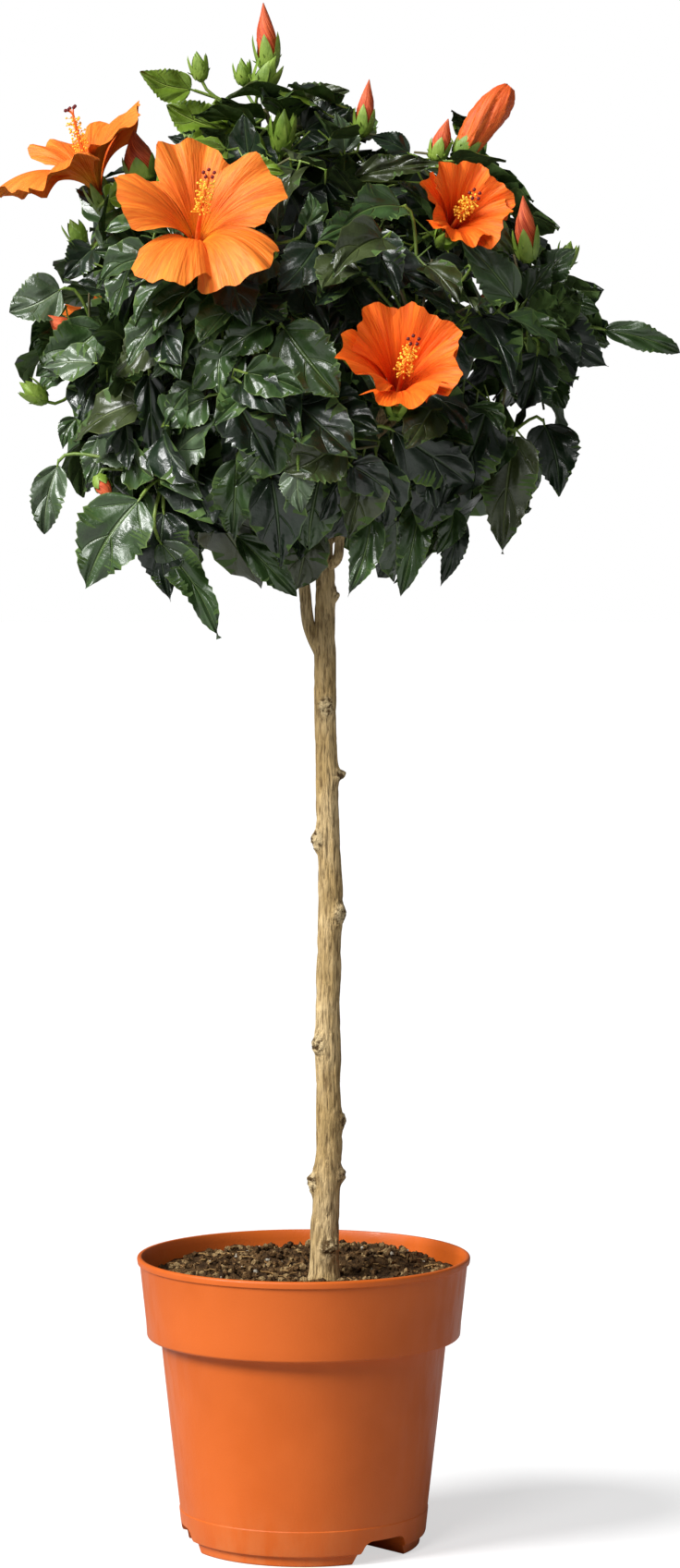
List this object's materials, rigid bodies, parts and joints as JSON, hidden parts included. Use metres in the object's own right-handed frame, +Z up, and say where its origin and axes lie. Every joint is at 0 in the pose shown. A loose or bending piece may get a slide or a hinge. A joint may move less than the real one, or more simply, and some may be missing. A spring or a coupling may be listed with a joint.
{
  "type": "potted standard hibiscus",
  "caption": "Flowering hibiscus grown as a standard: round leafy crown with open orange flowers and buds on one straight bare trunk, in a plastic nursery pot filled with potting soil.",
  "frame": {"origin": "middle of the pot's underside, on the ground", "axes": "+Z up, -Y is the front as pictured, +X is to the right as seen from the front"},
  "size_m": [0.3766, 0.3503, 0.873],
  "materials": {
    "pot": "matte terracotta-coloured plastic with a satin sheen",
    "soil": "dark brown crumbly potting soil",
    "bark": "dry pale tan bark with fine upright cracks",
    "foliage": "glossy dark green leaves with orange flowers"
  },
  "bodies": {
    "root": {"bough_back": "bark", "bough_back_right": "bark", "bough_front": "bark", "bough_leader": "bark", "bough_left": "bark", "bough_right": "bark", "foliage_back": "foliage", "foliage_back_left": "foliage", "foliage_back_left_high": "foliage", "foliage_back_left_low": "foliage", "foliage_back_right": "foliage", "foliage_back_right_high": "foliage", "foliage_back_right_low": "foliage", "foliage_front_left_high": "foliage", "foliage_front_left_low": "foliage", "foliage_front_low": "foliage", "foliage_front_right": "foliage", "foliage_front_right_low": "foliage", "foliage_left": "foliage", "foliage_left_high": "foliage", "foliage_right": "foliage", "foliage_right_high": "foliage", "foliage_top": "foliage", "pot": "pot", "side_bough_back_left": "bark", "side_bough_back_left_high": "bark", "side_bough_back_left_low": "bark", "side_bough_back_right_high": "bark", "side_bough_back_right_low": "bark", "side_bough_front_left_low": "bark", "side_bough_front_low": "bark", "side_bough_front_right_low": "bark", "side_bough_left_high": "bark", "side_bough_right": "bark", "side_bough_right_high": "bark", "soil": "soil", "trunk": "bark"}
  },
  "joints": []
}
